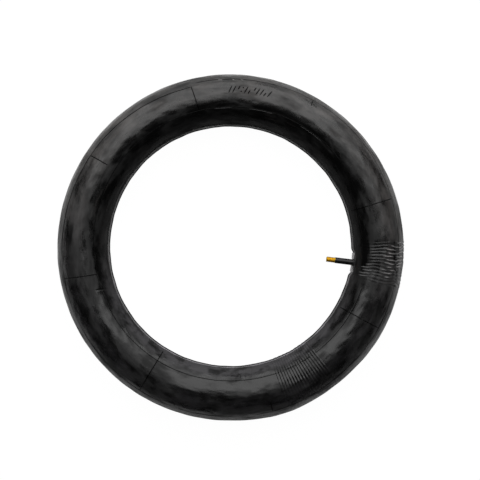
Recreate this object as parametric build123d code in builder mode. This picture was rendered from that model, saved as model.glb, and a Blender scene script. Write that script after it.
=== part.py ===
"""A fat-bike inner tube with a rubber-covered Schrader valve, in millimetres.

The tube lies flat, inflated just enough to be round. The ring's axis is +Z and its centre is the
origin. The valve stands on the ring's inner side at +X and points at the ring's centre, so its axis
is the X axis. Every turned valve piece is drawn as (depth, radius), where depth is measured from the
valve's mouth towards the tube, and is revolved about the X axis.
"""

from build123d import *
import os

# ---- driving dimensions ----

# the ring of rubber, sized for a 20 inch fat tyre
RING_RADIUS = 212.0  # from the ring's centre to the middle of the tube's section
SECTION_RADIUS = 38.0
WALL = 1.5

# the valve stem
STEM_LENGTH = 34.2  # from the mouth to the ring's inner edge
STEM_RADIUS = 4.2  # the rubber sleeve, for a rim hole of 8.7 mm
STEM_HOLE_RADIUS = 4.6  # through the patch and the tube's wall
SLEEVE_START = 12.5  # the depth where the rubber begins and the bare thread ends
COLLAR_RADIUS = 6.2  # the foot of the sleeve, which stands on the patch
COLLAR_THICKNESS = 1.2
INSIDE_LENGTH = 1.5  # how far the stem's inner end stands inside the tube

# the reinforcing patch under the valve
PATCH_RADIUS = 14.5
PATCH_THICKNESS = 1.2
PATCH_ARC = 20.0  # degrees of ring that the patch is cut from

# the brass insert: 8V1 thread outside, 5V1 thread inside
THREAD_RADIUS = 3.875
INSERT_RADIUS = 3.05  # where the rubber grips it
BARB_RADIUS = 3.45
BARB_STARTS = (16.0, 20.0, 24.0, 28.0)
BARB_LENGTH = 2.0
BORE_RADIUS = 2.65  # 5V1 thread for the core
SEAT_DEPTH = 7.4  # where the bore starts to narrow to the core's seat
SEAT_LENGTH = 1.6
CHAMBER_RADIUS = 2.1
CHAMBER_END = 19.0
OUTLET_RADIUS = 1.5

# the valve core
FIT = 0.05  # radial gap of the turning and sliding fits
PLUG_TOP = 0.9
PLUG_END = 5.6
PLUG_BRIDGE = 2.6  # width across the plug's flats
PLUG_FLATS_END = 2.6
NECK_RADIUS = 1.5  # the barrel's neck, which the plug turns on
LIP_RADIUS = 1.8  # the rolled lip that holds the plug on the neck
LIP_TOP = 3.3
LIP_END = 3.9
NECK_BORE = 1.2
SHOULDER_RADIUS = 2.2
SHOULDER_END = 7.3
GROOVE_RADIUS = 1.6  # where the barrel seal sits
GROOVE_END = 9.9
LAND_RADIUS = 1.9
BARREL_END = 13.6
SPRING_BORE = 1.3
SPRING_FLOOR = 12.4
THROAT_RADIUS = 0.9

# the pin and its plunger
PIN_TOP = 0.6
PIN_RADIUS = 0.6
PIN_HEAD_RADIUS = 0.85
PIN_HEAD_END = 1.6
PIN_HOLE_RADIUS = 0.95
PIN_COLLAR_RADIUS = 1.1
PIN_COLLAR_TOP = 6.6
PIN_COLLAR_END = 7.2
PIN_END = 16.0
RIVET_RADIUS = 0.9
SEAL_GAP = 0.02  # between the plunger's seal and the barrel's mouth
PLUNGER_SEAL_RADIUS = 1.45
PLUNGER_SEAL_END = 14.5
CUP_RADIUS = 1.75
CUP_TOP = 13.9
CUP_END = 15.4

# the spring that closes the valve
SPRING_RADIUS = 0.94
SPRING_WIRE_RADIUS = 0.13
SPRING_TURNS = 8

# ---- derived ----

RING_INNER = RING_RADIUS - SECTION_RADIUS
MOUTH_X = RING_INNER - STEM_LENGTH
PATCH_OUTER = SECTION_RADIUS + PATCH_THICKNESS
PATCH_TOP = STEM_LENGTH - PATCH_THICKNESS
COLLAR_TOP = PATCH_TOP - COLLAR_THICKNESS
STEM_END = STEM_LENGTH + WALL + INSIDE_LENGTH
VALVE_PLANE = Plane(origin=(MOUTH_X, 0, 0), x_dir=(1, 0, 0), z_dir=(0, 0, 1))


def across_valve(depth):
    """A plane across the valve's axis at a depth, facing the tube."""
    return Plane(origin=(MOUTH_X + depth, 0, 0), x_dir=(0, 1, 0), z_dir=(1, 0, 0))


def seat_radius(depth):
    """Radius of the insert's tapered seat at a depth."""
    narrowing = (BORE_RADIUS - CHAMBER_RADIUS) / SEAT_LENGTH
    return BORE_RADIUS - narrowing * (depth - SEAT_DEPTH)


os.makedirs("parts", exist_ok=True)

# ---- the tube ----

# the butyl tube: a hollow ring, pierced on its inner side for the valve
with BuildPart() as tube_body:
    with BuildSketch(Plane.XZ):
        with Locations((RING_RADIUS, 0)):
            Circle(SECTION_RADIUS)
            Circle(SECTION_RADIUS - WALL, mode=Mode.SUBTRACT)
    revolve(axis=Axis.Z)
    with BuildSketch(across_valve(PATCH_TOP)):
        Circle(STEM_HOLE_RADIUS)
    extrude(amount=STEM_END - PATCH_TOP, mode=Mode.SUBTRACT)

tube_body.part.label = "tube_body"
export_step(tube_body.part, "parts/tube_body.step")

# the round patch that spreads the valve's load, vulcanised onto the tube and following its curve
with BuildPart() as valve_patch:
    with BuildSketch(Plane.XZ.rotated((0, 0, -PATCH_ARC / 2))):
        with Locations((RING_RADIUS, 0)):
            Circle(PATCH_OUTER)
            Circle(SECTION_RADIUS, mode=Mode.SUBTRACT)
    revolve(axis=Axis.Z, revolution_arc=PATCH_ARC)
    with BuildSketch(across_valve(0)):
        Circle(PATCH_RADIUS)
        Circle(STEM_HOLE_RADIUS, mode=Mode.SUBTRACT)
    extrude(amount=STEM_LENGTH + SECTION_RADIUS, mode=Mode.INTERSECT)

valve_patch.part.label = "valve_patch"
export_step(valve_patch.part, "parts/valve_patch.step")

# ---- the valve stem ----

# the brass insert: bare thread at the mouth, barbed where the rubber is moulded round it
grip = [(SLEEVE_START, INSERT_RADIUS)]
for start in BARB_STARTS:
    grip += [(start, INSERT_RADIUS), (start, BARB_RADIUS), (start + BARB_LENGTH, INSERT_RADIUS)]

with BuildPart() as valve_stem_brass:
    with BuildSketch(VALVE_PLANE):
        with BuildLine():
            outside = [(0, THREAD_RADIUS - 0.6), (0.6, THREAD_RADIUS)]
            outside += [(SLEEVE_START, THREAD_RADIUS)] + grip + [(STEM_END, INSERT_RADIUS)]
            bore = [(STEM_END, OUTLET_RADIUS), (CHAMBER_END + 1, OUTLET_RADIUS)]
            bore += [(CHAMBER_END, CHAMBER_RADIUS), (SEAT_DEPTH + SEAT_LENGTH, CHAMBER_RADIUS)]
            bore += [(SEAT_DEPTH, BORE_RADIUS), (0.5, BORE_RADIUS), (0, BORE_RADIUS + 0.4)]
            Polyline(outside + bore, close=True)
        make_face()
    revolve(axis=Axis.X)

valve_stem_brass.part.label = "valve_stem_brass"
export_step(valve_stem_brass.part, "parts/valve_stem_brass.step")

# a solid stretch of ring as thick as tube and patch together, which shapes the sleeve's foot
with BuildPart() as patch_envelope:
    with BuildSketch(Plane.XZ.rotated((0, 0, -PATCH_ARC / 2))):
        with Locations((RING_RADIUS, 0)):
            Circle(PATCH_OUTER)
    revolve(axis=Axis.Z, revolution_arc=PATCH_ARC)

# the rubber sleeve: moulded round the insert, with a foot on the patch and a shank through the wall
with BuildPart() as valve_stem_rubber:
    with BuildSketch(VALVE_PLANE):
        with BuildLine():
            sleeve = [(SLEEVE_START, STEM_RADIUS - 0.4), (SLEEVE_START + 0.4, STEM_RADIUS)]
            sleeve += [(COLLAR_TOP - 0.5, STEM_RADIUS), (COLLAR_TOP, COLLAR_RADIUS - 0.5)]
            sleeve += [(COLLAR_TOP + 0.5, COLLAR_RADIUS), (STEM_LENGTH, COLLAR_RADIUS)]
            sleeve += [(STEM_LENGTH, INSERT_RADIUS)] + grip[::-1]
            Polyline(sleeve, close=True)
        make_face()
    revolve(axis=Axis.X)
    add(patch_envelope.part, mode=Mode.SUBTRACT)
    with BuildSketch(VALVE_PLANE):
        with BuildLine():
            Polyline(
                (COLLAR_TOP, INSERT_RADIUS),
                (COLLAR_TOP, STEM_HOLE_RADIUS),
                (STEM_END, STEM_HOLE_RADIUS),
                (STEM_END, INSERT_RADIUS),
                close=True,
            )
        make_face()
    revolve(axis=Axis.X)

valve_stem_rubber.part.label = "valve_stem_rubber"
export_step(valve_stem_rubber.part, "parts/valve_stem_rubber.step")

# ---- the valve core ----

# the swivel plug: threaded into the mouth, with two flats for the valve key, turning on the neck
with BuildPart() as core_plug:
    with BuildSketch(VALVE_PLANE):
        with BuildLine():
            plug = [(PLUG_TOP, PIN_HOLE_RADIUS), (PLUG_TOP, BORE_RADIUS - FIT)]
            plug += [(PLUG_END, BORE_RADIUS - FIT), (PLUG_END, NECK_RADIUS + FIT)]
            plug += [(LIP_END + FIT, NECK_RADIUS + FIT), (LIP_END + FIT, LIP_RADIUS + FIT)]
            plug += [(LIP_TOP - FIT, LIP_RADIUS + FIT), (LIP_TOP - FIT, PIN_HOLE_RADIUS)]
            Polyline(plug, close=True)
        make_face()
    revolve(axis=Axis.X)
    with BuildSketch(across_valve(PLUG_TOP)):
        Rectangle(4 * BORE_RADIUS, 4 * BORE_RADIUS)
        Rectangle(4 * BORE_RADIUS, PLUG_BRIDGE, mode=Mode.SUBTRACT)
    extrude(amount=PLUG_FLATS_END - PLUG_TOP, mode=Mode.SUBTRACT)

core_plug.part.label = "core_plug"
export_step(core_plug.part, "parts/core_plug.step")

# the barrel: a neck with a rolled lip, a shoulder, a groove for its seal and a seat at its end
with BuildPart() as core_barrel:
    with BuildSketch(VALVE_PLANE):
        with BuildLine():
            barrel = [(LIP_TOP, NECK_BORE), (LIP_TOP, LIP_RADIUS), (LIP_END, LIP_RADIUS)]
            barrel += [(LIP_END, NECK_RADIUS), (PLUG_END + FIT, NECK_RADIUS)]
            barrel += [(PLUG_END + FIT, SHOULDER_RADIUS), (SHOULDER_END, SHOULDER_RADIUS)]
            barrel += [(SHOULDER_END, GROOVE_RADIUS), (GROOVE_END, GROOVE_RADIUS)]
            barrel += [(GROOVE_END, LAND_RADIUS), (GROOVE_END + 0.6, LAND_RADIUS)]
            barrel += [(GROOVE_END + 1, GROOVE_RADIUS), (BARREL_END - 0.4, GROOVE_RADIUS)]
            barrel += [(BARREL_END, GROOVE_RADIUS - 0.4), (BARREL_END, THROAT_RADIUS)]
            barrel += [(SPRING_FLOOR, THROAT_RADIUS), (SPRING_FLOOR, SPRING_BORE)]
            barrel += [(PIN_COLLAR_TOP - 0.5, SPRING_BORE), (PIN_COLLAR_TOP - 0.6, NECK_BORE)]
            Polyline(barrel, close=True)
        make_face()
    revolve(axis=Axis.X)

core_barrel.part.label = "core_barrel"
export_step(core_barrel.part, "parts/core_barrel.step")

# the tapered seal round the barrel, which meets the insert's seat
with BuildPart() as core_seal:
    with BuildSketch(VALVE_PLANE):
        with BuildLine():
            seal = [(SHOULDER_END, GROOVE_RADIUS), (SHOULDER_END, SHOULDER_RADIUS)]
            seal += [(SEAT_DEPTH + 0.4, seat_radius(SEAT_DEPTH + 0.4) - FIT)]
            seal += [(SEAT_DEPTH + SEAT_LENGTH, CHAMBER_RADIUS - FIT)]
            seal += [(GROOVE_END - 0.3, CHAMBER_RADIUS - FIT)]
            seal += [(GROOVE_END, LAND_RADIUS), (GROOVE_END, GROOVE_RADIUS)]
            Polyline(seal, close=True)
        make_face()
    revolve(axis=Axis.X)

core_seal.part.label = "core_seal"
export_step(core_seal.part, "parts/core_seal.step")

# the pin that a pump or a fingernail presses: head, stem, spring collar and riveted end
with BuildPart() as core_pin:
    with BuildSketch(VALVE_PLANE):
        with BuildLine():
            pin = [(PIN_TOP, 0), (PIN_TOP, PIN_HEAD_RADIUS - 0.2)]
            pin += [(PIN_TOP + 0.2, PIN_HEAD_RADIUS), (PIN_HEAD_END, PIN_HEAD_RADIUS)]
            pin += [(PIN_HEAD_END, PIN_RADIUS), (PIN_COLLAR_TOP, PIN_RADIUS)]
            pin += [(PIN_COLLAR_TOP, PIN_COLLAR_RADIUS), (PIN_COLLAR_END, PIN_COLLAR_RADIUS)]
            pin += [(PIN_COLLAR_END, PIN_RADIUS), (CUP_END, PIN_RADIUS)]
            pin += [(CUP_END, RIVET_RADIUS), (PIN_END - 0.3, RIVET_RADIUS)]
            pin += [(PIN_END, PIN_RADIUS), (PIN_END, 0)]
            Polyline(pin, close=True)
        make_face()
    revolve(axis=Axis.X)

core_pin.part.label = "core_pin"
export_step(core_pin.part, "parts/core_pin.step")

# the rubber ring that the spring pulls shut against the barrel's end
with BuildPart() as plunger_seal:
    with BuildSketch(VALVE_PLANE):
        with BuildLine():
            Polyline(
                (BARREL_END + SEAL_GAP, PIN_RADIUS),
                (BARREL_END + SEAL_GAP, PLUNGER_SEAL_RADIUS),
                (PLUNGER_SEAL_END, PLUNGER_SEAL_RADIUS),
                (PLUNGER_SEAL_END, PIN_RADIUS),
                close=True,
            )
        make_face()
    revolve(axis=Axis.X)

plunger_seal.part.label = "plunger_seal"
export_step(plunger_seal.part, "parts/plunger_seal.step")

# the brass cup that holds that ring on the pin
with BuildPart() as plunger_cup:
    with BuildSketch(VALVE_PLANE):
        with BuildLine():
            cup = [(PLUNGER_SEAL_END, PIN_RADIUS), (PLUNGER_SEAL_END, PLUNGER_SEAL_RADIUS)]
            cup += [(CUP_TOP, PLUNGER_SEAL_RADIUS), (CUP_TOP, CUP_RADIUS)]
            cup += [(CUP_END - 0.5, CUP_RADIUS), (CUP_END, CUP_RADIUS - 0.5)]
            cup += [(CUP_END, PIN_RADIUS)]
            Polyline(cup, close=True)
        make_face()
    revolve(axis=Axis.X)

plunger_cup.part.label = "plunger_cup"
export_step(plunger_cup.part, "parts/plunger_cup.step")

# the closing spring, wound round the pin between its collar and the barrel's floor
SPRING_TOP = PIN_COLLAR_END + SPRING_WIRE_RADIUS
SPRING_HEIGHT = SPRING_FLOOR - PIN_COLLAR_END - 2 * SPRING_WIRE_RADIUS
with BuildPart() as core_spring:
    with BuildLine() as winding:
        Helix(
            pitch=SPRING_HEIGHT / SPRING_TURNS,
            height=SPRING_HEIGHT,
            radius=SPRING_RADIUS,
            center=(MOUTH_X + SPRING_TOP, 0, 0),
            direction=(1, 0, 0),
        )
    with BuildSketch(Plane(origin=winding.line @ 0, z_dir=winding.line % 0)):
        Circle(SPRING_WIRE_RADIUS)
    sweep(is_frenet=True)

core_spring.part.label = "core_spring"
export_step(core_spring.part, "parts/core_spring.step")
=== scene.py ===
"""The look of a fat-bike inner tube with a rubber-covered Schrader valve, seen from straight above.

The ring's axis is +Z and its centre is the origin. A place on the rubber is given by two angles:
around, the angle round the ring from the valve at +X, and over, the angle round the tube's section,
which is 0 on the ring's outer side, 90 on top, 180 on the inner side and 270 where it rests.
The valve's axis is the X axis, and depth is the distance from its mouth towards the tube.
Everything is in metres.
"""

import math

import bmesh
import bpy
import numpy as np
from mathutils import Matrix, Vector


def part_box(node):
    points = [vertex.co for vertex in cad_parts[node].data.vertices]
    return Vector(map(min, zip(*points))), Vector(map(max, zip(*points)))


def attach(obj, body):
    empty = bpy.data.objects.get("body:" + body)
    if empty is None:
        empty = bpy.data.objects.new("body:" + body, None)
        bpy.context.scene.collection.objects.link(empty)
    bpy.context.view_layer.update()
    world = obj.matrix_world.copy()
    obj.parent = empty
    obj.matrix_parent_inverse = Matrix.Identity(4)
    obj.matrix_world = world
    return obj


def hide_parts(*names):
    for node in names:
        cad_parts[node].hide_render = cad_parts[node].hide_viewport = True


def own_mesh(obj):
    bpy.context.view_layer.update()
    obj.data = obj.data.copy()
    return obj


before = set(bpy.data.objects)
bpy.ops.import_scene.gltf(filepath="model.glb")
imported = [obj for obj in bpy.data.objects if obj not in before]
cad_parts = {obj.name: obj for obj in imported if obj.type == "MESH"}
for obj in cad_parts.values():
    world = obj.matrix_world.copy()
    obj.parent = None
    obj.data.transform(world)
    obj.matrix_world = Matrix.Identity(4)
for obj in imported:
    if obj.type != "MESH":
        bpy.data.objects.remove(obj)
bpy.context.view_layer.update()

MM = 0.001

# ---- sizes read from the frame ----

tube_low, tube_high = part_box("tube_body")
FLOOR_Z = tube_low[2]
SECTION_RADIUS = tube_high[2]
RING_RADIUS = tube_high[0] - SECTION_RADIUS
MOUTH_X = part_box("valve_stem_brass")[0][0]
THREAD_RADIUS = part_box("valve_stem_brass")[1][2]
SLEEVE_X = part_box("valve_stem_rubber")[0][0]
STEM_END_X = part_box("valve_stem_rubber")[1][0]
PATCH_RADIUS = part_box("valve_patch")[1][2]

# ---- the rubber's shape ----

# radius of the section's middle, half its width on the ring's outer and inner side, and half its height
MIDDLE_RADIUS = RING_RADIUS + 1.2 * MM
OUTER_HALF = 37.2 * MM
INNER_HALF = 36.0 * MM
HALF_HEIGHT = SECTION_RADIUS + 0.2 * MM

# where a lightly inflated tube is fatter or slimmer, as (angle around, reach in degrees, height)
OUTER_LUMPS = (
    (60, 32, -1.0 * MM),
    (150, 40, -0.6 * MM),
    (230, 25, 0.5 * MM),
    (296, 11, 2.0 * MM),
    (337, 12, 1.0 * MM),
)
INNER_LUMPS = (
    (275, 42, 3.1 * MM),
    (95, 50, -0.9 * MM),
    (137, 22, -0.5 * MM),
    (27, 10, -1.0 * MM),
    (359, 14, -1.0 * MM),
)

# two bands of moulded ribs across the tube, each as (first, last) angle around and its rib count
VALVE_RIBS = (-6.7, 9.3, 13)
VALVE_RIB_SEED = 3
FAR_RIBS = (296.6, 316.2, 17)
FAR_RIB_SEED = 8

# short folds on the inner side, each as its angle around and its first and last angle over
CREASES = ((279.6, 118, 160), (281.2, 124, 152), (283.4, 112, 158), (286.0, 126, 164), (205.5, 112, 140))
CREASE_DEPTH = 0.55 * MM
CREASE_WIDTH = 0.35  # in degrees around
CREASE_MIDDLE = 138  # angle over that the folds lean about

# the patch holds the rubber back, which leaves a dimple round the valve
DIMPLE_FLOOR_X = MIDDLE_RADIUS - INNER_HALF + 3.2 * MM
DIMPLE_FLAT = 12 * MM  # radius of its flat floor
DIMPLE_END = 21 * MM  # radius where it ends

CONTACT_SOFTNESS = 0.6 * MM  # of the bend where the rubber leaves the floor
DENT_DEPTH = 0.2 * MM  # of the soft hollows all over a lightly inflated tube
SLACK = 0.25 * MM  # by which the section's height varies round the ring


def smooth_step(start, end, value):
    """0 before start and 1 after end, with a smooth change between. Start may be the larger."""
    t = np.clip((value - start) / (end - start), 0, 1)
    return t * t * (3 - 2 * t)


def wobble(a, b, seed, layers=4):
    """A smooth, repeatable unevenness between about -1 and 1 over two coordinates."""
    total = 0.0
    for k in range(1, layers + 1):
        turn = seed * 1.7 + k * 2.4
        total = total + np.sin(a * k * math.cos(turn) * 1.9 + b * k * math.sin(turn) * 1.9 + turn * k) / k
    return total / 2.08  # 1 + 1/2 + 1/3 + 1/4, the most that four layers can add up to


def turned_from(around, centre):
    """Signed angle from centre, in degrees, between -180 and 180."""
    return (around - centre + 180) % 360 - 180


def lumps(around, places):
    """How much fatter the tube is at an angle around, from its list of lumps."""
    return sum(height * np.exp(-((turned_from(around, at) / reach) ** 2)) for at, reach, height in places)


def side_of_top(over):
    """Angle over, mirrored so that the underside is moulded like the top: 0 outside to 180 inside."""
    return np.abs(turned_from(over, 0))


def rib_shift(along, side, looseness, seed):
    """How far a rib strays from its even place, in pitches, at an angle along its band."""
    return looseness * wobble(along / 2.6, side / 17.0, seed)


def valve_rib_looseness(side):
    """How far the valve's ribs stray at most, in pitches: further near the ring's outer side."""
    return 0.22 + 0.35 * smooth_step(75, 35, side)


def ribs(around, band, looseness, seed, side):
    """One band of ribs: 0 in a groove and 1 on a ridge, and how far inside the band a place is."""
    first, last, count = band
    along = turned_from(around, (first + last) / 2)
    shift = rib_shift(along, side, looseness, seed)
    wave = 0.5 + 0.5 * np.cos((along * count / (last - first) + shift) * 2 * math.pi)
    reach = (last - first) / 2
    return wave**0.7, smooth_step(reach + 0.3, reach - 0.4, np.abs(along))


def rib_height(around, over):
    """How far the moulded ribs stand out of the rubber."""
    side = side_of_top(over)
    ridge, inside = ribs(around, VALVE_RIBS, valve_rib_looseness(side), VALVE_RIB_SEED, side)
    uneven = 0.75 + 0.35 * wobble(np.radians(around) * 20, np.radians(side) * 1.5, 9, 2)
    depth = (0.22 + 0.9 * smooth_step(88, 45, side)) * smooth_step(170, 120, side) * uneven
    total = (ridge - 0.5) * inside * depth * MM
    looseness = 0.05 + 0.75 * smooth_step(80, 40, side)
    ridge, inside = ribs(around, FAR_RIBS, looseness, FAR_RIB_SEED, side)
    depth = (0.35 + 0.4 * smooth_step(70, 90, side)) * smooth_step(8, 30, side)
    return total + (ridge - 0.5) * inside * depth * MM


def rib_crest(number, side):
    """Angle around of one valve rib's crest, counted from the middle rib, at an angle over.

    Where a rib lies depends on its own shift, so the place is found in a few rounds.
    """
    first, last, count = VALVE_RIBS
    looseness = valve_rib_looseness(side)
    along = 0.0
    for _ in range(8):
        shift = rib_shift(along, side, looseness, VALVE_RIB_SEED)
        along = (number - shift) * (last - first) / count
    return (first + last) / 2 + along


def crease_depth(around, over):
    """A few short folds pressed into the inner side of the ring, leaning a little."""
    side = side_of_top(over)
    total = 0.0
    for at, start, end in CREASES:
        off = turned_from(around, at + (side - CREASE_MIDDLE) * 0.03)
        near = np.exp(-((off / CREASE_WIDTH) ** 2))
        total = total + near * smooth_step(start - 6, start + 8, side) * smooth_step(end + 6, end - 8, side)
    return CREASE_DEPTH * total


def skin(around, over):
    """Points of the rubber's surface, as an array with x, y and z last. Angles are in degrees."""
    around, over = np.broadcast_arrays(np.asarray(around, float), np.asarray(over, float))
    cosine, sine = np.cos(np.radians(over)), np.sin(np.radians(over))
    outer = OUTER_HALF + lumps(around, OUTER_LUMPS)
    inner = INNER_HALF + lumps(around, INNER_LUMPS)
    relief = rib_height(around, over) - crease_depth(around, over)
    slack = SLACK * wobble(np.radians(around) * 5.0, np.radians(over) * 1.0, 5)
    dents = wobble(np.radians(around) * 13, np.radians(over) * 6, 11, 3)
    dents = dents + wobble(np.radians(around) * 21, np.radians(over) * -5, 6, 2)
    relief = relief + DENT_DEPTH * dents
    out = MIDDLE_RADIUS + (np.where(cosine > 0, outer, inner) + relief) * cosine
    x = out * np.cos(np.radians(around))
    y = out * np.sin(np.radians(around))
    z = (HALF_HEIGHT + relief + slack * sine**2) * sine
    # the dimple round the valve
    off_axis = np.hypot(y, z)
    held = smooth_step(DIMPLE_END, DIMPLE_FLAT, off_axis) * (x > 0) * (x < MIDDLE_RADIUS)
    x = x + held * np.maximum(0, DIMPLE_FLOOR_X - x)
    # the flat that the tube rests on
    height = z - FLOOR_Z
    z = FLOOR_Z + (height + np.sqrt(height**2 + CONTACT_SOFTNESS**2)) / 2
    return np.stack([x, y, z], axis=-1)


def skin_frame(around, over):
    """Points of the rubber's surface and its unit normals."""
    step = 0.05  # in degrees, to each side
    points = skin(around, over)
    ahead = skin(np.add(around, step), over) - skin(np.subtract(around, step), over)
    upward = skin(around, np.add(over, step)) - skin(around, np.subtract(over, step))
    normal = np.cross(ahead, upward)
    normal /= np.linalg.norm(normal, axis=-1, keepdims=True)
    return points, normal


# ---- mesh tools ----

CRISP_ANGLE = 50  # degrees; a turned or moulded piece's edges sharper than this stay sharp


def mesh_object(name, points, faces, crisp_angle=None):
    """A smooth-shaded piece with its faces outwards; edges sharper than crisp_angle degrees stay sharp."""
    mesh = bpy.data.meshes.new(name)
    mesh.from_pydata([tuple(p) for p in np.asarray(points).reshape(-1, 3)], [], faces)
    work = bmesh.new()
    work.from_mesh(mesh)
    bmesh.ops.recalc_face_normals(work, faces=work.faces)
    work.to_mesh(mesh)
    work.free()
    mesh.polygons.foreach_set("use_smooth", [True] * len(mesh.polygons))
    if crisp_angle is not None:
        mesh.set_sharp_from_angle(angle=math.radians(crisp_angle))
    piece = bpy.data.objects.new(name, mesh)
    bpy.context.scene.collection.objects.link(piece)
    return piece


def grid_faces(rows, columns, rows_closed, columns_closed, start=0):
    """Quads over a grid of points stored row by row, from the point numbered start."""
    faces = []
    for i in range(rows if rows_closed else rows - 1):
        below, above = i * columns, (i + 1) % rows * columns
        for j in range(columns if columns_closed else columns - 1):
            k = (j + 1) % columns
            faces.append((start + below + j, start + above + j, start + above + k, start + below + k))
    return faces


def end_faces(rows, columns, start=0):
    """The two faces that close the first and the last row of a grid of points."""
    last = start + (rows - 1) * columns
    return [tuple(range(start, start + columns)), tuple(range(last, last + columns))[::-1]]


def lathe(name, profile, sides=96):
    """A turned piece about the valve's axis, from the (x, radius) points of a closed outline."""
    turn = np.linspace(0, 2 * math.pi, sides, endpoint=False)
    rows = [np.stack([np.full(sides, x), r * np.cos(turn), r * np.sin(turn)], -1) for x, r in profile]
    faces = grid_faces(len(rows), sides, True, True)
    return mesh_object(name, np.stack(rows), faces, crisp_angle=CRISP_ANGLE)


# section of a low ridge on the rubber, as (sideways, upwards) shares of its half width and its height
RIDGE_HALF_SHAPE = ((0.45, 0.85), (0.85, 0.35), (1.0, -0.5))
RIDGE_SHAPE = (*((-w, h) for w, h in RIDGE_HALF_SHAPE[::-1]), (0, 1.0), *RIDGE_HALF_SHAPE)


def strip(name, paths, half_width, height, taper=1.5):
    """Low ridges on the rubber, one along each path of (around, over) places in degrees.

    The ends of an open ridge run out over about as many places of its path as taper says.
    """
    points, faces = [], []
    for path, closed in paths:
        around, over = np.array(path, float).T
        place, normal = skin_frame(around, over)
        before = np.roll(place, 1, axis=0)
        after = np.roll(place, -1, axis=0)
        if not closed:
            before[0] = place[0]
            after[-1] = place[-1]
        along = after - before
        side = np.cross(normal, along)
        side /= np.linalg.norm(side, axis=-1, keepdims=True)
        size = np.ones(len(place))
        if not closed:
            count = np.arange(len(place))
            size = smooth_step(-0.5, taper, np.minimum(count, count[::-1]))
        lines = [
            place + side * (w * half_width * size)[:, None] + normal * (h * height * size)[:, None]
            for w, h in RIDGE_SHAPE
        ]
        start = sum(len(p) for p in points)
        points.append(np.stack(lines, axis=1).reshape(-1, 3))
        faces += grid_faces(len(place), len(lines), closed, True, start)
        if not closed:
            faces += end_faces(len(place), len(lines), start)
    return mesh_object(name, np.concatenate(points), faces)


# ---- the rubber tube ----

# the skin's grid, in degrees: around, across the ribs and elsewhere, and over
FINE_STEP = 0.19
COARSE_STEP = 1.0
OVER_STEP = 2.25


def in_band(around, first, last):
    """Whether an angle lies between two others, or within a degree of them."""
    return abs(turned_from(around, (first + last) / 2)) < (last - first) / 2 + 1


def columns_around():
    """Angles round the ring for the skin's columns, closer together across the ribs and the folds."""
    bands = [(first, last) for first, last, _ in (VALVE_RIBS, FAR_RIBS)]
    bands += [(at - 1.5, at + 1.5) for at, _, _ in CREASES]
    spots = []
    at = -12.0
    while at < 348.0:
        spots.append(at)
        at += FINE_STEP if any(in_band(at, *band) for band in bands) else COARSE_STEP
    return np.array(spots)


def make_skin():
    """The rubber's whole surface, closed both ways round."""
    around = columns_around()
    over = np.arange(0, 360, OVER_STEP)
    points = skin(around[:, None], over[None, :])
    return mesh_object("tube_skin", points, grid_faces(len(around), len(over), True, True))


def arc(start, end, over, step=1.0):
    """A path round the ring at one angle over, or at an angle over that depends on the angle around."""
    places = np.arange(start, end + step / 2, step)
    return [(a, over(a) if callable(over) else over) for a in places]


def across(around, start, end, lean=0.0, step=2.0):
    """A path across the tube at one angle around, leaning by some degrees along its length."""
    places = np.arange(start, end + step / 2, step)
    middle = (start + end) / 2
    return [(around + lean * (o - middle) / (end - start), o) for o in places]


STRAY_END = 109.6  # angle around where the outer mould line steps back outwards


def outer_line(around):
    """Angle over of the mould line on the outer shoulder, which strays inwards up to one vent."""
    turn = math.radians(around)
    stray = 11.0 * float(smooth_step(158, 112, around)) if around > STRAY_END else 0.0
    return 42 + 2.5 * math.cos(turn * 2 - 5.2) + 1.0 * math.sin(turn * 5) + stray


def inner_line(around):
    """Angle over of the mould line on the inner shoulder, which wanders round the ring."""
    return 119 - 7 * math.cos(math.radians(around - 85)) + 0.8 * math.sin(math.radians(around * 4))


def on_both_faces(paths):
    """The same paths on the top face and mirrored on the underside."""
    return [([(a, face * o) for a, o in path], closed) for path, closed in paths for face in (1, -1)]


def vent_angles():
    """Angles around of the eight vent lines across the tube."""
    for k in range(8):
        even = 22.5 + 45 * k
        yield even - 1.6 + 3.0 * math.cos(math.radians(even - 10))


def make_outer_line():
    """The outer mould line, a fine low ridge."""
    paths = [(arc(-170, 80, outer_line), False)]
    return strip("outer_mould_line", on_both_faces(paths), 0.45 * MM, 0.3 * MM)


def make_worn_outer_line():
    """The same line where the mould was worn, by the size marks: wider, and broken where it steps."""
    reaches = ((80, STRAY_END - 1.0), (STRAY_END + 0.6, 190))
    paths = [(arc(first, last, outer_line), False) for first, last in reaches]
    return strip("outer_mould_line_worn", on_both_faces(paths), 0.8 * MM, 0.4 * MM)


def make_inner_line():
    """The inner mould line: a full line, but for the stretch that the ribs at the valve cover."""
    return strip("inner_mould_line", on_both_faces([(arc(38, 350, inner_line), False)]), 0.6 * MM, 0.3 * MM)


def make_inner_edge():
    """The edge beside the inner mould line, where the two halves of the mould stepped, painted pale as the
    highlight along the step.
    """
    reaches = ((56, 67), (79, 90), (96, 104), (230, 252), (262, 296), (312, 350))
    paths = [(arc(first, last, lambda a: inner_line(a) + 2.2), False) for first, last in reaches]
    return strip("inner_mould_edge", on_both_faces(paths), 0.5 * MM, 0.25 * MM)


def make_vent_lines():
    """Lines across the tube from vent grooves in the mould, each with its own end and lean in degrees."""
    reaches = ((156, 0), (60, -0.6), (114, -1.0), (96, -0.6), (122, 0.8), (160, -0.5), (70, 0), (160, 0))
    paths = []
    for around, (end, lean) in zip(vent_angles(), reaches):
        paths.append((across(around, outer_line(around) - 2, end, lean), False))
    return strip("vent_lines", on_both_faces(paths), 0.85 * MM, 0.45 * MM)


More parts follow.
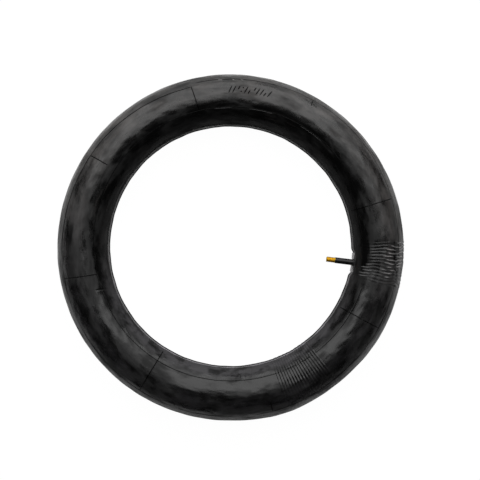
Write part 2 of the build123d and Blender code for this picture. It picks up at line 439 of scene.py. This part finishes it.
def make_size_marks():
    """A row of plain slanted bars and dots, where a size would be moulded."""
    first, spread = 97.0, 14.4  # in degrees around
    middle, half, lean = 71, 9.0, 1.3
    spans = {"|": [(-1, 1)], "i": [(-0.1, 1)], "!": [(-1, 0.1)], ":": [(-0.7, -0.35), (0.35, 0.7)]}
    paths = []
    marks = "||!:|i!||i|"
    for i, mark in enumerate(marks):
        around = first - spread * i / (len(marks) - 1)
        for low, high in spans[mark]:
            start, end = middle + half * low, middle + half * high
            place = around + lean * (low + high) / 4
            bar = across(place, start, end, lean * (high - low) / 2, step=(end - start) / 5)
            paths.append((bar, False))
    return strip("size_marks", paths, 1.05 * MM, 0.55 * MM)


def make_painted_crest_highlights():
    """Pale streaks of painted highlight: along crests of the valve's ribs, and as dashes by the outer mould
    line.
    """
    # each as its rib, counted from the middle one, and its first and last angle over
    reaches = ((-5, 112, 138), (-4, 62, 78), (-4, 108, 140), (-3, 58, 84), (-3, 104, 132), (-2, 50, 66))
    reaches += ((-2, 72, 88), (-2, 110, 136), (-1, 30, 52), (-1, 60, 76), (-1, 108, 124), (0, 16, 50))
    reaches += ((0, 54, 82), (1, 16, 78), (2, 16, 54), (2, 58, 86), (3, 16, 76), (4, 18, 46))
    reaches += ((4, 50, 80), (5, 18, 68), (6, 22, 48))
    paths = []
    for number, start, end in reaches:
        places = np.arange(start, end + 1, 2.0)
        paths.append(([(float(rib_crest(number, over)), over) for over in places], False))
    # the dashes, each as its middle and half its length in degrees around
    for around, half in ((100.5, 0.8), (96.0, 0.35), (93.0, 0.6)):
        paths.append((arc(around - half, around + half, outer_line(around) + 1.5, half / 6), False))
    return strip("painted_crest_highlights", paths, 0.75 * MM, 0.11 * MM, taper=4.0)


# ---- the flash, where the mould's halves met ----

FIN_BASE = MIDDLE_RADIUS - INNER_HALF
FIN_TIP = RING_RADIUS - SECTION_RADIUS  # radius of the inner flash's edge
FIN_HALF_THICKNESS = 0.45 * MM
FIN_BEAD = 0.75 * MM  # radius of the bead along its edge
FIN_SUNK = 1.2 * MM  # depth of its root in the rubber
FIN_RAGGED = 0.25 * MM  # unevenness of its edge
FIN_GAP = 13.6 * MM  # half the gap at the patch


def flash_ring(name, shape_at):
    """A piece that follows the inner side of the ring, but for the gap at the patch.

    shape_at gives its section, as (radius, height) points, for the radii of its root and its edge.
    """
    half_gap = math.degrees(FIN_GAP / FIN_TIP)
    places = np.arange(half_gap, 360 - half_gap, 0.75)
    points = []
    for around in places:
        root = float(np.hypot(*skin(around, 180)[:2]))
        ragged = FIN_RAGGED * wobble(math.radians(around) * 14, 0.3, 4)
        # it is cut back a little at its two ends, and its edge follows three quarters of the ring's lumps
        cut = 0.3 * smooth_step(1.2, 0, min(around - half_gap, 360 - half_gap - around))
        edge = root - (FIN_BASE - FIN_TIP - ragged - 0.25 * (FIN_BASE - root)) * (1 - cut)
        shape = shape_at(root, edge)
        cosine, sine = math.cos(math.radians(around)), math.sin(math.radians(around))
        points += [(radius * cosine, radius * sine, up) for radius, up in shape]
    faces = grid_faces(len(places), len(shape), False, True) + end_faces(len(places), len(shape))
    return mesh_object(name, points, faces, crisp_angle=CRISP_ANGLE)


def make_flash_web():
    """The flat web of the flash left at the mould's joint on the inner side, painted pale as the highlight
    on its top face.
    """

    def shape(root, edge):
        half = FIN_HALF_THICKNESS
        inner, outer = edge + FIN_BEAD, root + FIN_SUNK
        return [(outer, -half), (inner, -half), (inner, half), (outer, half)]

    return flash_ring("inner_flash", shape)


def make_flash_bead():
    """The rounded edge of the flash, where the rubber drew together as it set."""

    def shape(root, edge):
        turns = np.radians(np.arange(0, 360, 45))
        return [(edge + FIN_BEAD + FIN_BEAD * math.cos(t), -FIN_BEAD * math.sin(t)) for t in turns]

    return flash_ring("inner_flash_edge", shape)


def make_outer_flash():
    """A low, trimmed bead round the outer side."""
    return strip("outer_flash", [(arc(-180, 179, 0), True)], 0.9 * MM, 0.3 * MM)


HIGHLIGHT_BAND_EDGE = FIN_TIP + 2.1 * MM  # radius of the band's free edge
HIGHLIGHT_BAND_ROOT_X = DIMPLE_FLOOR_X + 0.6 * MM
HIGHLIGHT_BAND_START = 4.6 * MM  # from the valve's axis
HIGHLIGHT_BAND_LENGTH = FIN_GAP - 3.2 * MM
HIGHLIGHT_BAND_HALF_THICKNESS = 0.6 * MM
HIGHLIGHT_BAND_ROUNDING = 0.25 * MM


def highlight_band_section(y):
    """The band's (x, z) section at a distance y along it; past the flash's end it fades into the flash."""
    ragged = 0.2 * MM * wobble(y / MM * 0.7, 0.5, 6, 2)
    fade = float(smooth_step(FIN_GAP - 0.4 * MM, FIN_GAP + 1.4 * MM, abs(y)))
    front = math.sqrt(HIGHLIGHT_BAND_EDGE**2 - y**2) + ragged + 2.4 * MM * fade
    behind = front + HIGHLIGHT_BAND_ROUNDING
    half = HIGHLIGHT_BAND_HALF_THICKNESS * (1 - 0.5 * fade)
    section = [(HIGHLIGHT_BAND_ROOT_X, -half), (behind, -half), (front, -half + HIGHLIGHT_BAND_ROUNDING)]
    return section + [(front, half - HIGHLIGHT_BAND_ROUNDING), (behind, half), (HIGHLIGHT_BAND_ROOT_X, half)]


def make_painted_highlight_band():
    """The low web at each side of the valve, where the flash was cut back for the patch, painted pale as a
    highlight.
    """
    points, faces = [], []
    steps = 20
    for side in (-1, 1):
        start = len(points)
        for i in range(steps):
            y = side * (HIGHLIGHT_BAND_START + HIGHLIGHT_BAND_LENGTH * i / (steps - 1))
            section = highlight_band_section(y)
            points += [(x, y, z) for x, z in section]
        faces += grid_faces(steps, len(section), False, True, start)
        faces += end_faces(steps, len(section), start)
    return mesh_object("painted_highlight_band", points, faces, crisp_angle=30)


# ---- the valve's patch and sleeve ----

PATCH_THICKNESS = 1.3 * MM
PATCH_EDGE = 0.6 * MM  # thickness near its rim
PATCH_SUNK = 0.8 * MM  # depth of its back in the rubber


def dimple_point(y, z, proud):
    """A point on the rubber round the valve, standing proud of it towards the ring's centre."""
    half = INNER_HALF + float(lumps(0.0, INNER_LUMPS))
    section = half * math.sqrt(1 - (z / HALF_HEIGHT) ** 2)
    x = math.sqrt((MIDDLE_RADIUS - section) ** 2 - y**2)
    held = float(smooth_step(DIMPLE_END, DIMPLE_FLAT, math.hypot(y, z)))
    x += held * max(0.0, DIMPLE_FLOOR_X - x)
    return (x - proud, y, z)


def patch_proud(off):
    """How far the patch stands out of the rubber, at a distance from the valve's axis."""
    crown = (PATCH_THICKNESS - PATCH_EDGE) * smooth_step(PATCH_RADIUS, PATCH_RADIUS * 0.55, off)
    return (PATCH_EDGE + crown) * (1.0 if off < PATCH_RADIUS * 0.97 else 0.4)


def make_patch():
    """The round patch on the dimple's floor, thinning towards its edge."""
    rings, sides = 16, 96
    turn = np.linspace(0, 2 * math.pi, sides, endpoint=False)
    points = []
    for i in range(1, rings + 1):
        off = PATCH_RADIUS * (i / rings) ** 0.8
        for a in turn:
            points.append(dimple_point(off * math.cos(a), off * math.sin(a), patch_proud(off)))
    for a in turn:
        points.append(dimple_point(PATCH_RADIUS * math.cos(a), PATCH_RADIUS * math.sin(a), -PATCH_SUNK))
    faces = grid_faces(rings + 1, sides, False, True) + end_faces(rings + 1, sides)
    return mesh_object("valve_patch_pad", points, faces, crisp_angle=CRISP_ANGLE)


# in millimetres from the valve's mouth: the sleeve's start, its foot on the patch, and the stem's end
SLEEVE_START = (SLEEVE_X - MOUTH_X) / MM
SLEEVE_FOOT = (DIMPLE_FLOOR_X - MOUTH_X) / MM - 1.4
STEM_END = (STEM_END_X - MOUTH_X) / MM


def make_sleeve():
    """The rubber sleeve, with a rounded lip, a slight taper, a filleted foot and a shank into the tube."""
    start, foot, end = SLEEVE_START, SLEEVE_FOOT, STEM_END
    profile = [(start + 0.1, 3.2), (start, 3.55), (start + 0.02, 3.9), (start + 0.18, 4.1)]
    profile += [(start + 0.5, 4.2), (start + 1.2, 4.22), (start + 8, 4.24), (foot - 8, 4.26)]
    profile += [(foot - 2.4, 4.3), (foot - 1.7, 4.38), (foot - 1.3, 4.55), (foot - 1.1, 4.85)]
    profile += [(foot - 1.0, 5.2), (foot - 0.75, 5.45), (foot - 0.3, 5.5), (foot + 0.6, 5.5)]
    profile += [(foot + 0.8, 4.6), (end, 4.6), (end, 3.2)]
    placed = [(MOUTH_X + depth * MM, radius * MM) for depth, radius in profile]
    return lathe("valve_sleeve", placed)


# ---- the valve's threaded brass and its spring ----

# pitch and depth of the threads on the valve and on its core, in millimetres
THREAD_8V1 = (0.794, 0.45)
THREAD_5V1 = (0.7056, 0.38)
SLICES_PER_PITCH = 10


def thread_profile(turns):
    """Height of a thread between 0 at the root and 1 at the crest, for a number of turns."""
    t = turns % 1.0
    ridge = np.minimum(t, 1 - t) * 2
    return np.clip((ridge - 0.12) / 0.66, 0, 1)


def round_row(depth, radius, turn):
    """One row of points round the valve's axis, in millimetres from its mouth."""
    return np.stack([np.full(len(turn), depth), radius * np.cos(turn), radius * np.sin(turn)], -1)


def threaded(name, outside, inside, thread, thread_start, thread_end, sides=64):
    """A turned brass piece with a helical thread on its outside, from (depth, radius) profiles in mm."""
    pitch, height = thread
    rows = []
    turn = np.linspace(0, 2 * math.pi, sides, endpoint=False)
    for (depth_0, radius_0), (depth_1, radius_1) in zip(outside, outside[1:]):
        steps = max(1, round(abs(depth_1 - depth_0) / (pitch / SLICES_PER_PITCH)))
        for i in range(steps):
            depth = depth_0 + (depth_1 - depth_0) * i / steps
            radius = radius_0 + (radius_1 - radius_0) * i / steps
            # the thread runs out towards both its ends
            present = smooth_step(thread_start - 0.2, thread_start + 0.5, depth)
            present = present * smooth_step(thread_end, thread_end - pitch, depth)
            cut = (1 - thread_profile(depth / pitch - turn / (2 * math.pi))) * height * present
            rows.append(round_row(depth, radius - cut, turn))
    for depth, radius in [outside[-1]] + inside:
        rows.append(round_row(depth, radius, turn))
    points = np.stack(rows) * MM
    points[..., 0] += MOUTH_X
    faces = grid_faces(len(rows), sides, True, True)
    return mesh_object(name, points, faces, crisp_angle=CRISP_ANGLE)


def make_insert():
    """The brass insert: an 8V1 thread outside, and the core's bore, seat and air way inside."""
    crest = THREAD_RADIUS / MM
    start, end = SLEEVE_START, STEM_END
    outside = [(0.0, crest - 0.75), (0.15, crest - 0.55), (0.7, crest), (start + 0.6, crest)]
    outside += [(start + 0.7, 3.2), (end, 3.2)]
    inside = [(end, 1.5), (20, 1.5), (19, 2.1), (9.0, 2.1), (7.4, 2.65), (0.45, 2.65)]
    inside += [(0.1, 2.95), (0.0, 3.02)]
    return threaded("valve_thread_brass", outside, inside, THREAD_8V1, 0.5, start - 0.1)


def make_plug():
    """The core's swivel plug: a 5V1 thread, two flats at its top, and a bore for the pin and the neck."""
    outside = [(0.9, 2.35), (1.1, 2.6), (5.4, 2.6), (5.6, 2.4)]
    inside = [(5.6, 1.55), (3.95, 1.55), (3.95, 1.85), (3.25, 1.85), (3.25, 0.95), (1.0, 0.95), (0.9, 1.05)]
    piece = threaded("core_plug_threaded", outside, inside, THREAD_5V1, 1.0, 5.5)
    flats_end = MOUTH_X + 2.6 * MM
    half_width = 1.3 * MM  # from flat to flat
    for vertex in piece.data.vertices:
        if vertex.co.x < flats_end:
            vertex.co.z = min(half_width, max(-half_width, vertex.co.z))
    return piece


def make_spring():
    """The closing spring: round wire whose turns lie closer together towards its two ends."""
    low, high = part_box("core_spring")
    wire = 0.13 * MM  # the wire's radius
    radius = high[2] - wire
    turns, per_turn, around_wire = 8.0, 28, 10
    count = int(turns * per_turn) + 1
    points = []
    for i in range(count):
        t = i / (count - 1)
        turn = 2 * math.pi * turns * t
        x = low[0] + wire + (high[0] - low[0] - 2 * wire) * smooth_step(-0.06, 1.06, t)
        centre = np.array([x, radius * math.cos(turn), radius * math.sin(turn)])
        outwards = np.array([0, math.cos(turn), math.sin(turn)])
        for k in range(around_wire):
            a = 2 * math.pi * k / around_wire
            points.append(centre + wire * (math.cos(a) * outwards + math.sin(a) * np.array([1.0, 0, 0])))
    faces = grid_faces(count, around_wire, False, True) + end_faces(count, around_wire)
    return mesh_object("closing_spring", points, faces)


# ---- materials ----


def new_material(name):
    """A material with its nodes, its links and its shader."""
    material = bpy.data.materials.new(name)
    material.use_nodes = True
    nodes = material.node_tree.nodes
    return material, nodes, material.node_tree.links, nodes["Principled BSDF"]


def math_node(nodes, links, operation, *values):
    """One arithmetic step on numbers or other nodes' outputs."""
    node = nodes.new("ShaderNodeMath")
    node.operation = operation
    for i, value in enumerate(values):
        if isinstance(value, (int, float)):
            node.inputs[i].default_value = value
        else:
            links.new(value, node.inputs[i])
    return node.outputs[0]


def ring_place(nodes, links):
    """Where a point is on the ring: cosine and sine of its angle round it, how far out, and how high."""
    place = nodes.new("ShaderNodeTexCoord").outputs["Object"]
    split = nodes.new("ShaderNodeSeparateXYZ")
    links.new(place, split.inputs[0])
    x, y, z = split.outputs
    squares = math_node(nodes, links, "MULTIPLY", x, x)
    squares = math_node(nodes, links, "ADD", squares, math_node(nodes, links, "MULTIPLY", y, y))
    out = math_node(nodes, links, "SQRT", squares)
    cosine = math_node(nodes, links, "DIVIDE", x, out)
    sine = math_node(nodes, links, "DIVIDE", y, out)
    return cosine, sine, math_node(nodes, links, "SUBTRACT", out, RING_RADIUS), z


def ring_noise(nodes, links, place, along, over, detail=4.0, roughness=0.55):
    """Noise that follows the tube: along and over say how many features lie on a metre each way."""
    cosine, sine, off, z = place
    join = nodes.new("ShaderNodeCombineXYZ")
    links.new(math_node(nodes, links, "MULTIPLY", cosine, RING_RADIUS * along), join.inputs[0])
    links.new(math_node(nodes, links, "MULTIPLY", sine, RING_RADIUS * along), join.inputs[1])
    links.new(math_node(nodes, links, "MULTIPLY", off, over), join.inputs[2])
    noise = nodes.new("ShaderNodeTexNoise")
    noise.noise_dimensions = "4D"
    links.new(join.outputs[0], noise.inputs["Vector"])
    links.new(math_node(nodes, links, "MULTIPLY", z, over), noise.inputs["W"])
    noise.inputs["Scale"].default_value = 1.0
    noise.inputs["Detail"].default_value = detail
    noise.inputs["Roughness"].default_value = roughness
    return noise.outputs["Fac"]


def between(nodes, links, value, start, end, low=0.0, high=1.0):
    """Value carried smoothly from low at start to high at end."""
    node = nodes.new("ShaderNodeMapRange")
    node.interpolation_type = "SMOOTHSTEP"
    links.new(value, node.inputs["Value"])
    for name, number in (("From Min", start), ("From Max", end), ("To Min", low), ("To Max", high)):
        node.inputs[name].default_value = number
    return node.outputs[0]


def ramp(nodes, links, value, stops):
    """A colour, or one grey level, for each value, from (position, colour) stops."""
    node = nodes.new("ShaderNodeValToRGB")
    links.new(value, node.inputs[0])
    elements = node.color_ramp.elements
    while len(elements) < len(stops):
        elements.new(0.5)
    for element, (position, colour) in zip(elements, stops):
        element.position = position
        element.color = (*colour, 1) if len(colour) == 3 else (colour[0],) * 3 + (1,)
    return node.outputs[0]


def bump(nodes, links, height, distance, strength=1.0, before=None):
    """Fine relief on top of the relief before it."""
    node = nodes.new("ShaderNodeBump")
    node.inputs["Strength"].default_value = strength
    node.inputs["Distance"].default_value = distance
    links.new(height, node.inputs["Height"])
    if before is not None:
        links.new(before, node.inputs["Normal"])
    return node.outputs[0]


def noise_at(nodes, links, scale, detail=4.0, roughness=0.55):
    """Even noise over the object's own coordinates, with about scale features on a metre."""
    node = nodes.new("ShaderNodeTexNoise")
    links.new(nodes.new("ShaderNodeTexCoord").outputs["Object"], node.inputs["Vector"])
    node.inputs["Scale"].default_value = scale
    node.inputs["Detail"].default_value = detail
    node.inputs["Roughness"].default_value = roughness
    return node.outputs["Fac"]


def talc_and_painted_light_on_rubber(nodes, links, place):
    """How much talc lies at a point, with painted light in it: cloudy smears along the outer half, thin
    streaks along the inner, and more on the faces that turn towards the key light.
    """
    _, sine, off, _ = place
    smears = ring_noise(nodes, links, place, 24, 85, 4.0, 0.6)
    clouds = ring_noise(nodes, links, place, 30, 40, 5.0, 0.65)
    streaks = ring_noise(nodes, links, place, 22, 190, 4.0, 0.6)
    outer = math_node(nodes, links, "MULTIPLY", smears, clouds)
    outer = between(nodes, links, outer, 0.14, 0.40)
    inner = between(nodes, links, streaks, 0.56, 0.78, 0.0, 0.35)
    # painted highlight: on the ring's side away from the size marks and the key light, the inner half turns
    # towards that light and is painted pale with talc down to its inner edge
    edge = between(nodes, links, off, -20 * MM, -34 * MM)
    edge = math_node(nodes, links, "MULTIPLY", edge, between(nodes, links, sine, 0.3, -0.7))
    edge = math_node(nodes, links, "MULTIPLY", edge, between(nodes, links, clouds, 0.4, 0.6, 0.1, 1.3))
    inner = math_node(nodes, links, "ADD", inner, edge)
    outside = between(nodes, links, off, -8 * MM, 14 * MM)
    inside = math_node(nodes, links, "SUBTRACT", 1.0, outside)
    outer = math_node(nodes, links, "MULTIPLY", outer, outside)
    # painted shade: on that side the outer half turns away from the key light and is given less talc
    outer = math_node(nodes, links, "MULTIPLY", outer, between(nodes, links, sine, -0.5, 0.3, 0.4, 1.0))
    inner = math_node(nodes, links, "MULTIPLY", inner, inside)
    return math_node(nodes, links, "ADD", outer, inner)


WARM_TINT = (1.08, 1.0, 0.96)
COOL_TINT = (1.0, 0.97, 1.03)


def tube_rubber(name, black, dusty, gloss=0.5):
    """Butyl rubber fresh from its bag: near black and shiny, dulled where talc was wiped over it.

    The talc looks warm by the size marks and cool on the side across from them. Its amount also carries
    painted light: more on the faces that turn towards the key light, less on those that turn away.
    """
    material, nodes, links, shader = new_material(name)
    place = ring_place(nodes, links)
    # talc, with painted light: thicker on the faces that turn towards the key light
    talc = talc_and_painted_light_on_rubber(nodes, links, place)
    warm = ramp(nodes, links, talc, [(0.0, (black,)), (1.0, tuple(dusty * tint for tint in WARM_TINT))])
    cool = ramp(nodes, links, talc, [(0.0, (black,)), (1.0, tuple(dusty * tint for tint in COOL_TINT))])
    mix = nodes.new("ShaderNodeMixRGB")
    links.new(between(nodes, links, place[1], -0.7, 0.5), mix.inputs[0])
    links.new(cool, mix.inputs[1])
    links.new(warm, mix.inputs[2])
    links.new(mix.outputs[0], shader.inputs["Base Color"])
    patchy = ring_noise(nodes, links, place, 24, 62, 4.0, 0.6)
    dull = between(nodes, links, patchy, 0.42, 0.68, 0.24, 0.72)
    links.new(math_node(nodes, links, "MULTIPLY_ADD", talc, 0.1, dull), shader.inputs["Roughness"])
    shader.inputs["Specular IOR Level"].default_value = gloss
    waves = bump(nodes, links, ring_noise(nodes, links, place, 22, 60, 2.0, 0.5), 2.4 * MM, 0.7)
    creases = bump(nodes, links, ring_noise(nodes, links, place, 40, 130, 3.0, 0.5), 0.4 * MM, 0.35, waves)
    grain = bump(nodes, links, noise_at(nodes, links, 1400, 3.0), 0.03 * MM, before=creases)
    links.new(grain, shader.inputs["Normal"])
    return material


def gloss_rubber(name):
    """The stem's moulded rubber: deep black and shiny."""
    material, nodes, links, shader = new_material(name)
    colour = ramp(nodes, links, noise_at(nodes, links, 300), [(0.35, (0.006,)), (0.75, (0.014,))])
    links.new(colour, shader.inputs["Base Color"])
    rough = ramp(nodes, links, noise_at(nodes, links, 700), [(0.3, (0.2,)), (0.7, (0.34,))])
    links.new(rough, shader.inputs["Roughness"])
    shader.inputs["Specular IOR Level"].default_value = 0.35
    links.new(bump(nodes, links, noise_at(nodes, links, 2500), 0.02 * MM), shader.inputs["Normal"])
    return material


def brass(name, base, tarnish):
    """Bare turned brass with a little tarnish and turning marks."""
    material, nodes, links, shader = new_material(name)
    stops = [(0.35, tarnish), (0.6, base)]
    colour = ramp(nodes, links, noise_at(nodes, links, 500, 5.0), stops)
    links.new(colour, shader.inputs["Base Color"])
    shader.inputs["Metallic"].default_value = 1.0
    rough = ramp(nodes, links, noise_at(nodes, links, 1200), [(0.3, (0.46,)), (0.7, (0.6,))])
    links.new(rough, shader.inputs["Roughness"])
    marks = nodes.new("ShaderNodeTexWave")
    links.new(nodes.new("ShaderNodeTexCoord").outputs["Object"], marks.inputs["Vector"])
    marks.bands_direction = "X"
    marks.inputs["Scale"].default_value = 2500
    marks.inputs["Distortion"].default_value = 1.5
    links.new(bump(nodes, links, marks.outputs["Fac"], 0.01 * MM), shader.inputs["Normal"])
    return material


def plain(name, base, roughness, metallic=0.0):
    """A small inner piece's surface: one colour, with a slightly uneven finish."""
    material, nodes, links, shader = new_material(name)
    darker = tuple(0.7 * c for c in base)
    colour = ramp(nodes, links, noise_at(nodes, links, 900), [(0.35, darker), (0.65, base)])
    links.new(colour, shader.inputs["Base Color"])
    shader.inputs["Metallic"].default_value = metallic
    stops = [(0.3, (roughness - 0.06,)), (0.7, (roughness + 0.06,))]
    links.new(ramp(nodes, links, noise_at(nodes, links, 1500), stops), shader.inputs["Roughness"])
    return material


def paint(piece, material):
    """Gives a piece its one material."""
    piece.data.materials.clear()
    piece.data.materials.append(material)


def repaint(node, material):
    """Gives a carried-over CAD node its finished material."""
    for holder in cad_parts[node].material_slots:
        holder.material = material


# the tube's rubber on each kind of place, with its colour where it is bare and where talc lies thickest
RUBBER = tube_rubber("butyl_rubber", 0.002, 0.055)
# partly real and partly painted shade: bare of talc, and painted dark and dull as the shade along the mould
# lines, vents, size marks and the flash's edge
SHADED_LINE_RUBBER = tube_rubber("butyl_rubber_on_lines_painted_shade", 0.001, 0.004, gloss=0.12)
# painted highlight: a paler rubber for the light line along the inner mould step
STEP_HIGHLIGHT_RUBBER = tube_rubber("butyl_rubber_on_steps_painted_highlight", 0.03, 0.07)
# painted highlight: pale grey rubber for the lit top face of the flash's web
FLASH_HIGHLIGHT_RUBBER = tube_rubber("butyl_rubber_on_flash_painted_highlight", 0.15, 0.30, gloss=0.4)
# painted highlight: pale rubber for the lit crests of the ribs and the lit dashes on the outer mould line
CREST_HIGHLIGHT_RUBBER = tube_rubber("butyl_rubber_on_crests_painted_highlight", 0.11, 0.36, gloss=0.5)
# painted highlight: very pale rubber for the light strip beside the valve, where the rubber catches light
# at a grazing angle
BAND_HIGHLIGHT_RUBBER = tube_rubber("band_rubber_painted_highlight", 0.42, 0.55, gloss=0.3)
PATCH_RUBBER = tube_rubber("patch_rubber", 0.03, 0.06, gloss=0.4)
SLEEVE_RUBBER = gloss_rubber("stem_rubber")
THREAD_BRASS = brass("thread_brass", (0.95, 0.66, 0.07), (0.72, 0.46, 0.03))
CORE_BRASS = brass("core_brass", (0.78, 0.58, 0.22), (0.5, 0.36, 0.12))
SEAL_RUBBER = plain("seal_rubber", (0.10, 0.02, 0.018), 0.5)
SPRING_STEEL = plain("spring_steel", (0.6, 0.6, 0.62), 0.28, metallic=1.0)

# ---- the pieces and what they ride on ----

tube_skin = make_skin()
rubber_pieces = [
    (tube_skin, RUBBER),
    (make_outer_line(), SHADED_LINE_RUBBER),
    (make_worn_outer_line(), SHADED_LINE_RUBBER),
    (make_inner_line(), SHADED_LINE_RUBBER),
    (make_inner_edge(), STEP_HIGHLIGHT_RUBBER),
    (make_vent_lines(), SHADED_LINE_RUBBER),
    (make_size_marks(), SHADED_LINE_RUBBER),
    (make_painted_crest_highlights(), CREST_HIGHLIGHT_RUBBER),
    (make_flash_web(), FLASH_HIGHLIGHT_RUBBER),
    (make_flash_bead(), SHADED_LINE_RUBBER),
    (make_painted_highlight_band(), BAND_HIGHLIGHT_RUBBER),
    (make_outer_flash(), RUBBER),
]
for piece, material in rubber_pieces:
    paint(piece, material)
    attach(piece, "tube")
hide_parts("tube_body")

for piece, node, material, body, slot in (
    (make_patch(), "valve_patch", PATCH_RUBBER, "tube", "patch_rubber"),
    (make_sleeve(), "valve_stem_rubber", SLEEVE_RUBBER, "tube", "stem_rubber"),
    (make_insert(), "valve_stem_brass", THREAD_BRASS, "tube", "stem_brass"),
    (make_plug(), "core_plug", CORE_BRASS, "swivel", "core_brass"),
    (make_spring(), "core_spring", SPRING_STEEL, "core_carriage", "spring_steel"),
):
    paint(piece, material)
    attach(piece, body)
    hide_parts(node)
    if node == "core_spring":
        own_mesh(piece)

for node in ("core_barrel", "core_pin", "plunger_cup"):
    repaint(node, CORE_BRASS)
for node in ("core_seal", "plunger_seal"):
    repaint(node, SEAL_RUBBER)

# ---- the stage: a pale floor, soft light and a camera straight above ----

# the valve lies 7 degrees below the picture's right-hand direction
PICTURE_TURN = math.radians(7.0)
RIGHT = Vector((math.cos(PICTURE_TURN), math.sin(PICTURE_TURN), 0))
UP = Vector((-math.sin(PICTURE_TURN), math.cos(PICTURE_TURN), 0))
AIM = RIGHT * (13.75 * MM) + UP * (10.6 * MM)  # the picture's middle, at the ring's middle height
VIEW_WIDTH = 694.8 * MM  # of the picture there
LENS = 100.0
SENSOR = 36.0

# the pale floor's flat radius, its wall's radius and height
FLOOR_RADIUS = 6.0
WALL_RADIUS = 9.0
WALL_HEIGHT = 5.0
FLOOR_GLOW = 0.985

# how much light the hidden sheet throws back inside and outside the ring; inside it is painted grey, as
# shade
BOUNCE_INSIDE_PAINTED_SHADE = 0.2
BOUNCE_OUTSIDE = 0.97

KEY_PLACE = UP * 1.5 + Vector((0, 0, 1.5))
KEY_SIZE = (4.0, 3.4)
KEY_POWER = 92


def make_backdrop():
    """The pale floor that the camera sees, rising to a wall all round. It lights nothing."""
    profile = [(0.0, 0.0), (FLOOR_RADIUS, 0.0)]
    for a in np.radians((15, 30, 45, 60, 75, 90)):
        radius = FLOOR_RADIUS + (WALL_RADIUS - FLOOR_RADIUS) * math.sin(a)
        profile.append((radius, WALL_HEIGHT * (1 - math.cos(a))))
    sides = 96
    turn = np.linspace(0, 2 * math.pi, sides, endpoint=False)
    rows = [np.stack([r * np.cos(turn), r * np.sin(turn), np.full(sides, z)], -1) for r, z in profile]
    mesh = bpy.data.meshes.new("backdrop")
    mesh.from_pydata(np.concatenate(rows).tolist(), [], grid_faces(len(rows), sides, False, True))
    backdrop = bpy.data.objects.new("backdrop", mesh)
    backdrop.location.z = FLOOR_Z - 0.2 * MM
    bpy.context.scene.collection.objects.link(backdrop)
    material, _, _, shader = new_material("pale_floor")
    shader.inputs["Base Color"].default_value = (0.04, 0.04, 0.04, 1)
    shader.inputs["Roughness"].default_value = 1.0
    shader.inputs["Specular IOR Level"].default_value = 0.0
    shader.inputs["Emission Color"].default_value = (1, 1, 1, 1)
    shader.inputs["Emission Strength"].default_value = FLOOR_GLOW
    paint(backdrop, material)
    backdrop.visible_diffuse = False
    backdrop.visible_glossy = False
    backdrop.visible_shadow = False


def make_bounce():
    """A sheet under the pale floor, white outside the ring and painted grey inside as shade, that throws
    light back up.
    """
    bpy.ops.mesh.primitive_plane_add(size=12, location=(0, 0, FLOOR_Z - 0.6 * MM))
    bounce = bpy.context.object
    bounce.name = "bounce_sheet"
    material, nodes, links, shader = new_material("white_sheet_with_painted_shade")
    out = ring_place(nodes, links)[2]
    shade = between(nodes, links, out, -20 * MM, 20 * MM)
    shade = ramp(nodes, links, shade, [(0.0, (BOUNCE_INSIDE_PAINTED_SHADE,)), (1.0, (BOUNCE_OUTSIDE,))])
    links.new(shade, shader.inputs["Base Color"])
    shader.inputs["Roughness"].default_value = 1.0
    shader.inputs["Specular IOR Level"].default_value = 0.0
    paint(bounce, material)
    bounce.visible_camera = False


def make_key_light():
    """One large soft light, high above the ring's upper side in the picture."""
    lamp = bpy.data.lights.new("key", "AREA")
    lamp.shape = "RECTANGLE"
    lamp.size, lamp.size_y = KEY_SIZE
    lamp.energy = KEY_POWER
    holder = bpy.data.objects.new("key", lamp)
    holder.location = KEY_PLACE
    holder.rotation_euler = (-KEY_PLACE).to_track_quat("-Z", "Y").to_euler()
    holder.visible_camera = False
    bpy.context.scene.collection.objects.link(holder)


def make_dim_room():
    """Hardly any light from the rest of the room."""
    world = bpy.data.worlds.new("studio")
    world.use_nodes = True
    world.node_tree.nodes["Background"].inputs["Color"].default_value = (0.012, 0.012, 0.012, 1)
    bpy.context.scene.world = world


def make_camera():
    """The camera straight above, with the valve's turn in the picture."""
    lens = bpy.data.cameras.new("camera")
    lens.lens = LENS
    lens.sensor_width = SENSOR
    holder = bpy.data.objects.new("camera", lens)
    distance = VIEW_WIDTH * LENS / SENSOR
    holder.location = AIM + Vector((0, 0, distance))
    holder.rotation_euler = (0, 0, PICTURE_TURN)
    bpy.context.scene.collection.objects.link(holder)
    bpy.context.scene.camera = holder


make_backdrop()
make_bounce()
make_key_light()
make_dim_room()
bpy.context.scene.view_settings.view_transform = "Standard"
make_camera()
